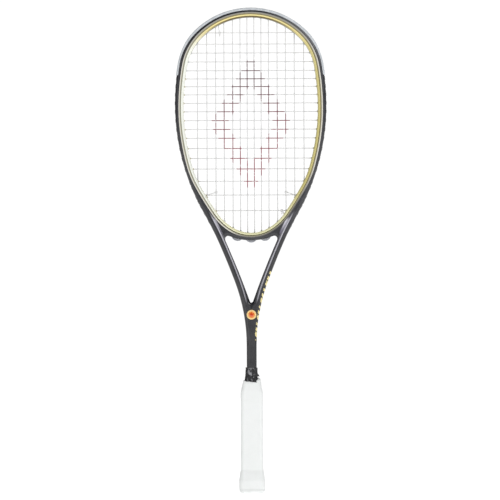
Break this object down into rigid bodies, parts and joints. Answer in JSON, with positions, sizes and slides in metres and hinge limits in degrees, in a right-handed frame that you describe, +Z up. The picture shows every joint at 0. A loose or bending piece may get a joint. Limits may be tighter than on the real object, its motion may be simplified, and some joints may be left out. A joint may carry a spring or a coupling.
{
  "type": "squash racket",
  "caption": "Squash racket with a teardrop strung head, an open split throat with a bridge, a round-edged shaft and a spiral-wrapped cushioned grip.",
  "frame": {"origin": "middle of the butt end, on the face of the butt cap", "axes": "+Z up the handle and shaft to the crown of the head, +X across the head, the front face of the strings looks along -Y"},
  "size_m": [0.2146, 0.0324, 0.686],
  "materials": {
    "frame_lacquer": "carbon moulding under charcoal, grey, white and yellow gloss lacquer",
    "bridge_lacquer": "yellow gloss lacquer with dark and grey bands",
    "bumper_nylon": "translucent pale grey nylon",
    "grommet_nylon": "black nylon",
    "throat_nylon": "translucent grey nylon",
    "string_nylon": "white coated multifilament string",
    "badge_ring": "pale yellow plastic",
    "badge_eye": "clear dome over orange",
    "foam": "expanded foam",
    "pallet_plastic": "hard moulded foam",
    "cap_plastic": "moulded plastic, white",
    "staple_steel": "bright wire",
    "grip_pu": "white tacky polyurethane tape, spiral wrapped",
    "finishing_tape": "black stretched tape, wrinkled"
  },
  "bodies": {
    "root": {"frame_tube": "frame_lacquer", "throat_bridge": "bridge_lacquer", "bumper_guard": "bumper_nylon", "side_grommet_strip_left": "grommet_nylon", "side_grommet_strip_right": "grommet_nylon", "shoulder_grommet_strip_left": "grommet_nylon", "shoulder_grommet_strip_right": "grommet_nylon", "throat_grommet_strip": "throat_nylon", "main_string": "string_nylon", "cross_string": "string_nylon", "throat_badge_ring_front": "badge_ring", "throat_badge_eye_front": "badge_eye", "throat_badge_ring_back": "badge_ring", "throat_badge_eye_back": "badge_eye", "shaft_foam_plug": "foam", "handle_pallet_front": "pallet_plastic", "handle_pallet_back": "pallet_plastic", "butt_cap": "cap_plastic", "butt_cap_staples": "staple_steel", "grip_tape": "grip_pu", "finishing_tape": "finishing_tape"}
  },
  "joints": []
}
